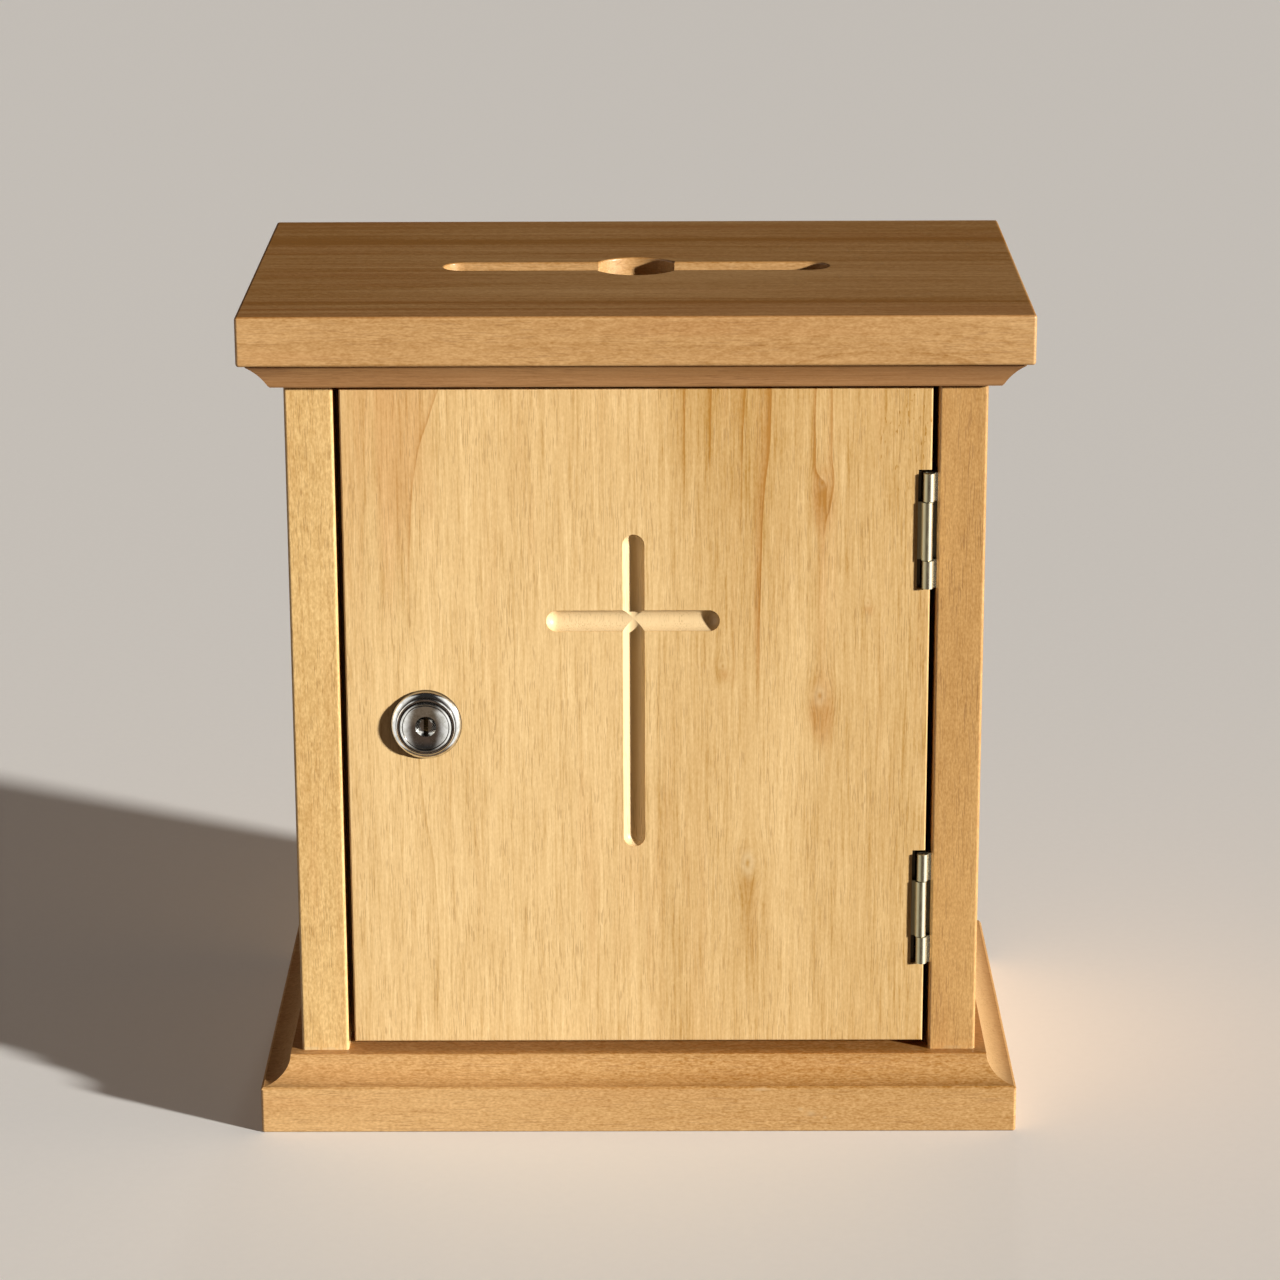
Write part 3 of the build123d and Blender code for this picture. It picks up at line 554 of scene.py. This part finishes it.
def metal(name, tone, worn, roughness, patch=12.0, brushed=0.0, bump=0.15, spots=0.0, shade_paint=None):
    """Plated or bare metal: a slow change of tone, cloudy gloss and faint fine marks.

    The last argument, if given, maps a point's three Terms to its share of painted shade, and that shade's
    colour.
    """
    graph = Graph(name)
    x, y, z = graph.position()
    cloud = graph.noise(graph.combine(x / patch, y / patch, z / patch), 3.0, 0.6)
    marks = graph.noise(graph.combine(x / 0.25, y / 0.25, z / (0.25 + brushed)), 2.0, 0.5)
    body = graph.blend((cloud * 2.2 + 0.35 + marks * 0.5).ramp(0.0, 1.0), tone, worn)
    if spots:
        pit = graph.noise(graph.combine(x / 0.6, y / 0.6, z / 0.6), 1.0).ramp(0.14, 0.24)
        body = graph.blend(pit * spots, body, scaled(worn, 0.45))
    rough = roughness + cloud * roughness * 0.9 + marks * roughness * 0.35
    if shade_paint:
        shade_share, shade_tone = shade_paint(x, y, z)
        body = graph.blend(shade_share, body, shade_tone)
        rough = rough + shade_share * 0.12
    return graph.surface({
        "Base Color": body,
        "Metallic": 1.0,
        "Roughness": rough,
        "Normal": graph.bump(marks, 0.01, bump),
    })


# ---------------------------------------------------------------- materials on the frame's nodes


def paint(material, *nodes):
    """Gives a material to every slot of these CAD nodes."""
    for name in nodes:
        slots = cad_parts[name].data.materials
        for index in range(len(slots)):
            slots[index] = material
        if not len(slots):
            slots.append(material)


def dress_wood():
    paint(wood("door_wood", DOOR_TONE, "z", 1.0, door_features, pith=(0.0, 10.0), rings=0.1, spacing=11.0,
               pores=0.38, salmon=0.62), "door_panel")
    paint(wood("lid_wood", LID_TONE, "x", 2.0, lid_features, pith=(-20.0, 170.0), spacing=7.0,
               rings=0.35, pores=0.3, streaks=0.42, speckle=1.2), "lid_board")
    paint(wood("base_wood", BASE_TONE, "x", 3.0, base_features, pith=(10.0, -70.0), rings=0.2, pores=0.3,
               streaks=0.35, speckle=1.7), "base_board")
    paint(wood("left_panel_wood", LEFT_TONE, "z", 4.0, panel_features, pith=(-150.0, 30.0), streaks=0.6,
               speckle=1.4), "side_panel_left")
    paint(wood("right_panel_wood", RIGHT_TONE, "z", 5.0, panel_features, pith=(150.0, 40.0), streaks=0.5,
               speckle=1.4), "side_panel_right")
    paint(wood("strip_wood", LEFT_TONE, "z", 6.0), "door_stop_strip")
    paint(wood("rail_wood", TRIM_TONE, "x", 7.0), "top_rail_front")
    paint(wood("front_trim_wood", TRIM_TONE, "x", 8.0), "cove_trim_front")
    paint(wood("left_trim_wood", TRIM_TONE, "y", 9.0), "cove_trim_left")
    paint(wood("right_trim_wood", TRIM_TONE, "y", 10.0), "cove_trim_right")
    paint(wood("lid_dowel_wood", DOWEL_TONE, "z", 11.0), "lid_dowels")
    paint(wood("rail_dowel_wood", DOWEL_TONE, "x", 12.0), "rail_dowels")
    paint(plywood("back_ply", PLY_TONE, 13.0), "back_panel")


def dress_metal():
    # The lock's chrome gets painted shade, and the hinges' brass a painted dimmer reflection and painted
    # shade
    chrome = metal("chrome", (0.86, 0.86, 0.84), (0.56, 0.55, 0.49), 0.12, patch=2.2, bump=0.06,
                   shade_paint=lock_shade_paint)
    brass = metal("antique_brass", (0.88, 0.84, 0.66), (0.74, 0.69, 0.5), 0.26, patch=4.0, brushed=3.0,
                  shade_paint=hinge_shade_paint)
    wafer = metal("wafer_brass", (0.74, 0.56, 0.28), (0.55, 0.4, 0.18), 0.25, patch=3.0)
    pin = metal("pin_steel", (0.42, 0.37, 0.25), (0.25, 0.22, 0.15), 0.3, patch=3.0)
    zinc = metal("zinc_steel", (0.62, 0.63, 0.62), (0.46, 0.47, 0.46), 0.3, patch=4.0, spots=0.2)
    spring = metal("spring_steel", (0.42, 0.42, 0.43), (0.28, 0.28, 0.29), 0.28, patch=2.0)
    paint(chrome, "lock_housing", "lock_plug")
    paint(wafer, "lock_wafers")
    paint(spring, "lock_wafer_springs")
    paint(zinc, "lock_nut", "lock_cam", "lock_cam_washer", "lock_cam_screw")
    paint(zinc, "base_screws", "back_panel_screws", "stop_strip_screws")
    for hinge in HINGES:
        paint(brass, f"{hinge}_frame_leaf", f"{hinge}_door_leaf")
        paint(brass, f"{hinge}_frame_screws", f"{hinge}_door_screws")
        paint(pin, f"{hinge}_pin")


# ---------------------------------------------------------------- studio


def make_camera():
    data = bpy.data.cameras.new("camera")
    data.lens = CAMERA_LENS
    data.sensor_width = CAMERA_SENSOR
    data.clip_start, data.clip_end = CAMERA_RANGE
    camera = bpy.data.objects.new("camera", data)
    turn = (
        Matrix.Rotation(CAMERA_YAW, 4, "Z")
        @ Matrix.Rotation(math.radians(90.0) - CAMERA_PITCH, 4, "X")
        @ Matrix.Rotation(CAMERA_ROLL, 4, "Z")
    )
    camera.matrix_world = Matrix.Translation(CAMERA_PLACE) @ turn
    bpy.context.scene.collection.objects.link(camera)
    bpy.context.scene.camera = camera


def place_light(name, data, azimuth, elevation, distance, power, colour):
    """Puts a lamp's data in the scene, shining at the middle of the box, and out of the camera's sight."""
    data.energy = power
    data.color = colour
    turn, rise = math.radians(azimuth), math.radians(elevation)
    back = Vector((math.sin(turn) * math.cos(rise), -math.cos(turn) * math.cos(rise), math.sin(rise)))
    light = bpy.data.objects.new(name, data)
    facing = back.to_track_quat("Z", "Y").to_matrix().to_4x4()
    light.matrix_world = Matrix.Translation(LIGHT_AIM + back * distance) @ facing
    light.visible_camera = False
    bpy.context.scene.collection.objects.link(light)
    return light


def area_light(name, azimuth, elevation, distance, size, power, colour):
    """A round soft light at a distance in metres; its power is in watts."""
    data = bpy.data.lights.new(name, "AREA")
    data.shape = "DISK"
    data.size = size
    return place_light(name, data, azimuth, elevation, distance, power, colour)


def far_light(name, azimuth, elevation, spread, power, colour):
    """A lamp so far away that it lights all the floor alike; its power is in watts per square metre."""
    data = bpy.data.lights.new(name, "SUN")
    data.angle = spread
    return place_light(name, data, azimuth, elevation, FAR_LIGHT_DISTANCE, power, colour)


def make_floor():
    mesh = bpy.data.meshes.new("floor")
    turns = [2.0 * math.pi * i / FLOOR_CORNERS for i in range(FLOOR_CORNERS)]
    rim = [(FLOOR_RADIUS * math.cos(turn), FLOOR_RADIUS * math.sin(turn), 0.0) for turn in turns]
    mesh.from_pydata(rim, [], [tuple(range(FLOOR_CORNERS))])
    floor = bpy.data.objects.new("floor", mesh)
    bpy.context.scene.collection.objects.link(floor)
    graph = Graph("floor_paper")
    x, y, z = graph.position()
    grain = graph.noise(graph.combine(x / 3.0, y / 3.0, z), 2.0)
    body = graph.blend(grain + 0.5, scaled(FLOOR_COLOUR, 1.01), scaled(FLOOR_COLOUR, 0.98))
    mesh.materials.append(graph.surface({
        "Base Color": body,
        "Roughness": 0.85,
        "Specular IOR Level": 0.1,
        "Emission Color": FLOOR_COLOUR,
        "Emission Strength": FLOOR_GLOW,
    }))
    floor.visible_diffuse = False
    floor.visible_glossy = False


def make_world():
    """A dim warm room, and for reflections two tall soft boxes that stand left and right of the camera."""
    world = bpy.data.worlds.new("studio")
    graph = Graph.of_world(world)
    way = graph.node("ShaderNodeTexCoord").outputs["Generated"]
    x, y, z = [Term(graph, s) for s in graph.node("ShaderNodeSeparateXYZ", None, {0: way}).outputs]
    azimuth = graph.math("ARCTAN2", x, y * -1.0) * (180.0 / math.pi)
    height = z.ramp(BOX_LOW - BOX_EDGE, BOX_LOW) * z.ramp(BOX_HIGH + BOX_EDGE, BOX_HIGH)
    reflected = graph.blend(z.ramp(*TABLE_EDGE), ROOM_GLOW, TABLE_GLOW)
    reflected = graph.blend(z.ramp(*CEILING_EDGE), reflected, CEILING_GLOW)
    for box in (LEFT_BOX, RIGHT_BOX):
        edge = math.copysign(BOX_SIDE_EDGE, box["stop"])
        shown = azimuth.ramp(box["start"], box["full"]) * azimuth.ramp(box["stop"] + edge, box["stop"])
        reflected = graph.blend(shown * height, reflected, scaled(BOX_WHITE, box["bright"]))
    glossy = graph.node("ShaderNodeLightPath").outputs["Is Glossy Ray"]
    seen = graph.blend(glossy, scaled(FILL_COLOUR, FILL_STRENGTH), reflected)
    background = graph.node("ShaderNodeBackground", None, {"Color": seen})
    graph.node("ShaderNodeOutputWorld", None, {"Surface": background.outputs[0]})
    bpy.context.scene.world = world


dress_wood()
dress_metal()
make_camera()
make_floor()
make_world()
far_light("key", **KEY)
area_light("side", **SIDE)
far_light("back", **BACK).visible_glossy = False
bpy.context.scene.view_settings.view_transform = "Standard"
